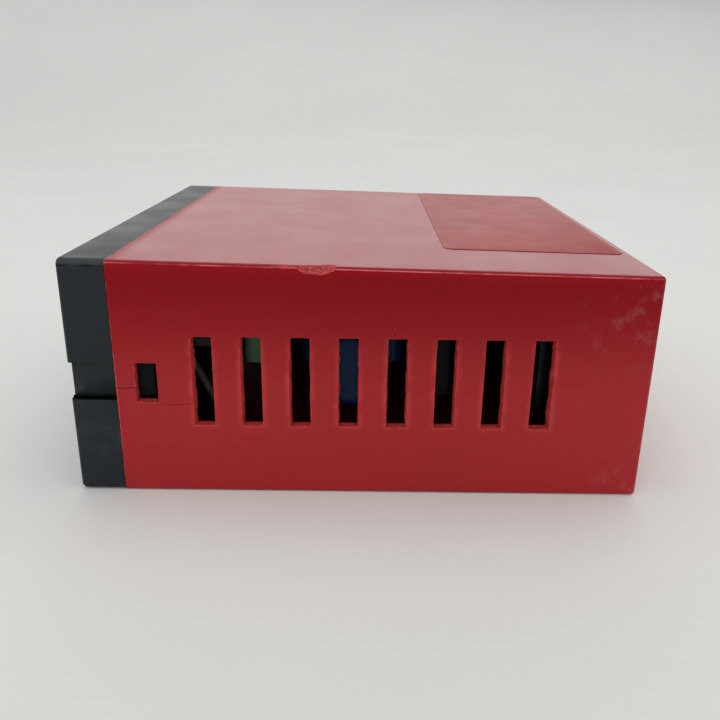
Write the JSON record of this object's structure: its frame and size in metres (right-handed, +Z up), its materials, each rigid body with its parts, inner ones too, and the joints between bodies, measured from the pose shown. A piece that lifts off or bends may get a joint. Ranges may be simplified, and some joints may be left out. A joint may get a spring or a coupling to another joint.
{
  "type": "network firewall appliance",
  "caption": "Compact moulded network box: red vented shell, dark grey front bezel with sockets, status lights, reset button, power switch and pull-out power plug.",
  "frame": {"origin": "centre of the footprint, on the face it rests on", "axes": "front bezel faces -Y, +X is the vented side, +Z is up"},
  "size_m": [0.1194, 0.12, 0.0507],
  "materials": {
    "red_shell": "satin moulded",
    "grey_bezel": "fine spark texture",
    "label_film": "matte film",
    "black_plastic": "matte",
    "white_plastic": "satin",
    "bright_steel": "tinned",
    "contact_gold": "gold plated",
    "board_green": "solder mask",
    "screw_steel": "zinc plated",
    "lamp_plastic": "lamp package",
    "clear_plastic": "clear moulded",
    "grey_ribbon": "ribbed cable",
    "red_button": "satin",
    "switch_paddle": "satin",
    "tin": "tinned",
    "green_plastic": "satin",
    "green_filter": "satin",
    "blue_epoxy": "dipped epoxy",
    "blue_sleeve": "shrink sleeve",
    "sink_aluminium": "black anodised",
    "chip_black": "moulded epoxy",
    "grey_nylon": "nylon",
    "wire_sleeve": "pvc sleeve"
  },
  "bodies": {
    "box": {"casing_shell": "red_shell", "front_bezel": "grey_bezel", "type_label": "label_film", "wan_jack_housing": "black_plastic", "wan_jack_shield": "bright_steel", "wan_jack_contacts": "contact_gold", "lan1_jack_housing": "black_plastic", "lan1_jack_shield": "bright_steel", "lan1_jack_contacts": "contact_gold", "lan2_jack_housing": "black_plastic", "lan2_jack_shield": "bright_steel", "lan2_jack_contacts": "contact_gold", "lan3_jack_housing": "black_plastic", "lan3_jack_shield": "bright_steel", "lan3_jack_contacts": "contact_gold", "lan4_jack_housing": "black_plastic", "lan4_jack_shield": "bright_steel", "lan4_jack_contacts": "contact_gold", "usb_shell": "bright_steel", "usb_tongue": "white_plastic", "main_board": "board_green", "status_board": "board_green", "board_screws": "screw_steel", "header_screws": "screw_steel", "status_leds": "lamp_plastic", "status_light_pipes": "clear_plastic", "status_ribbon": "grey_ribbon", "reset_switch_case": "black_plastic", "rocker_case": "black_plastic", "power_choke": "black_plastic", "switch_terminals": "tin", "header_pins": "tin", "power_header": "green_plastic", "input_filter": "green_filter", "surge_varistor": "blue_epoxy", "filter_capacitor_front": "blue_sleeve", "filter_capacitor_rear": "blue_sleeve", "bulk_capacitor": "blue_sleeve", "heat_sink": "sink_aluminium", "processor_heat_sink": "sink_aluminium", "regulator": "chip_black", "processor": "chip_black", "switch_chip": "chip_black", "memory_chips": "chip_black", "network_transformers": "chip_black", "chip_resistors": "chip_black", "cell_holder": "chip_black", "crystal": "bright_steel", "coin_cell": "bright_steel", "wire_header": "grey_nylon", "switch_wire_outer": "wire_sleeve", "switch_wire_inner": "wire_sleeve"},
    "reset": {"reset_button": "red_button", "reset_plunger": "switch_paddle"},
    "rocker": {"power_rocker": "switch_paddle"},
    "plug": {"power_plug": "green_plastic", "plug_clamps": "tin", "plug_screws": "screw_steel"}
  },
  "joints": [
    {"name": "reset_press", "type": "slide", "parent": "box", "child": "reset", "axis": [0, 1, 0], "range_m": [0, 0.0008], "stiffness_N_per_m": 1800, "springref_m": -0.0003},
    {"name": "rocker_tilt", "type": "hinge", "parent": "box", "child": "rocker", "pos_m": [-0.004, -0.0549, 0.0106], "axis": [0, 0, 1], "range_deg": [0, 18]},
    {"name": "plug_pull", "type": "slide", "parent": "box", "child": "plug", "axis": [0, -1, 0], "range_m": [0, 0.014]}
  ]
}
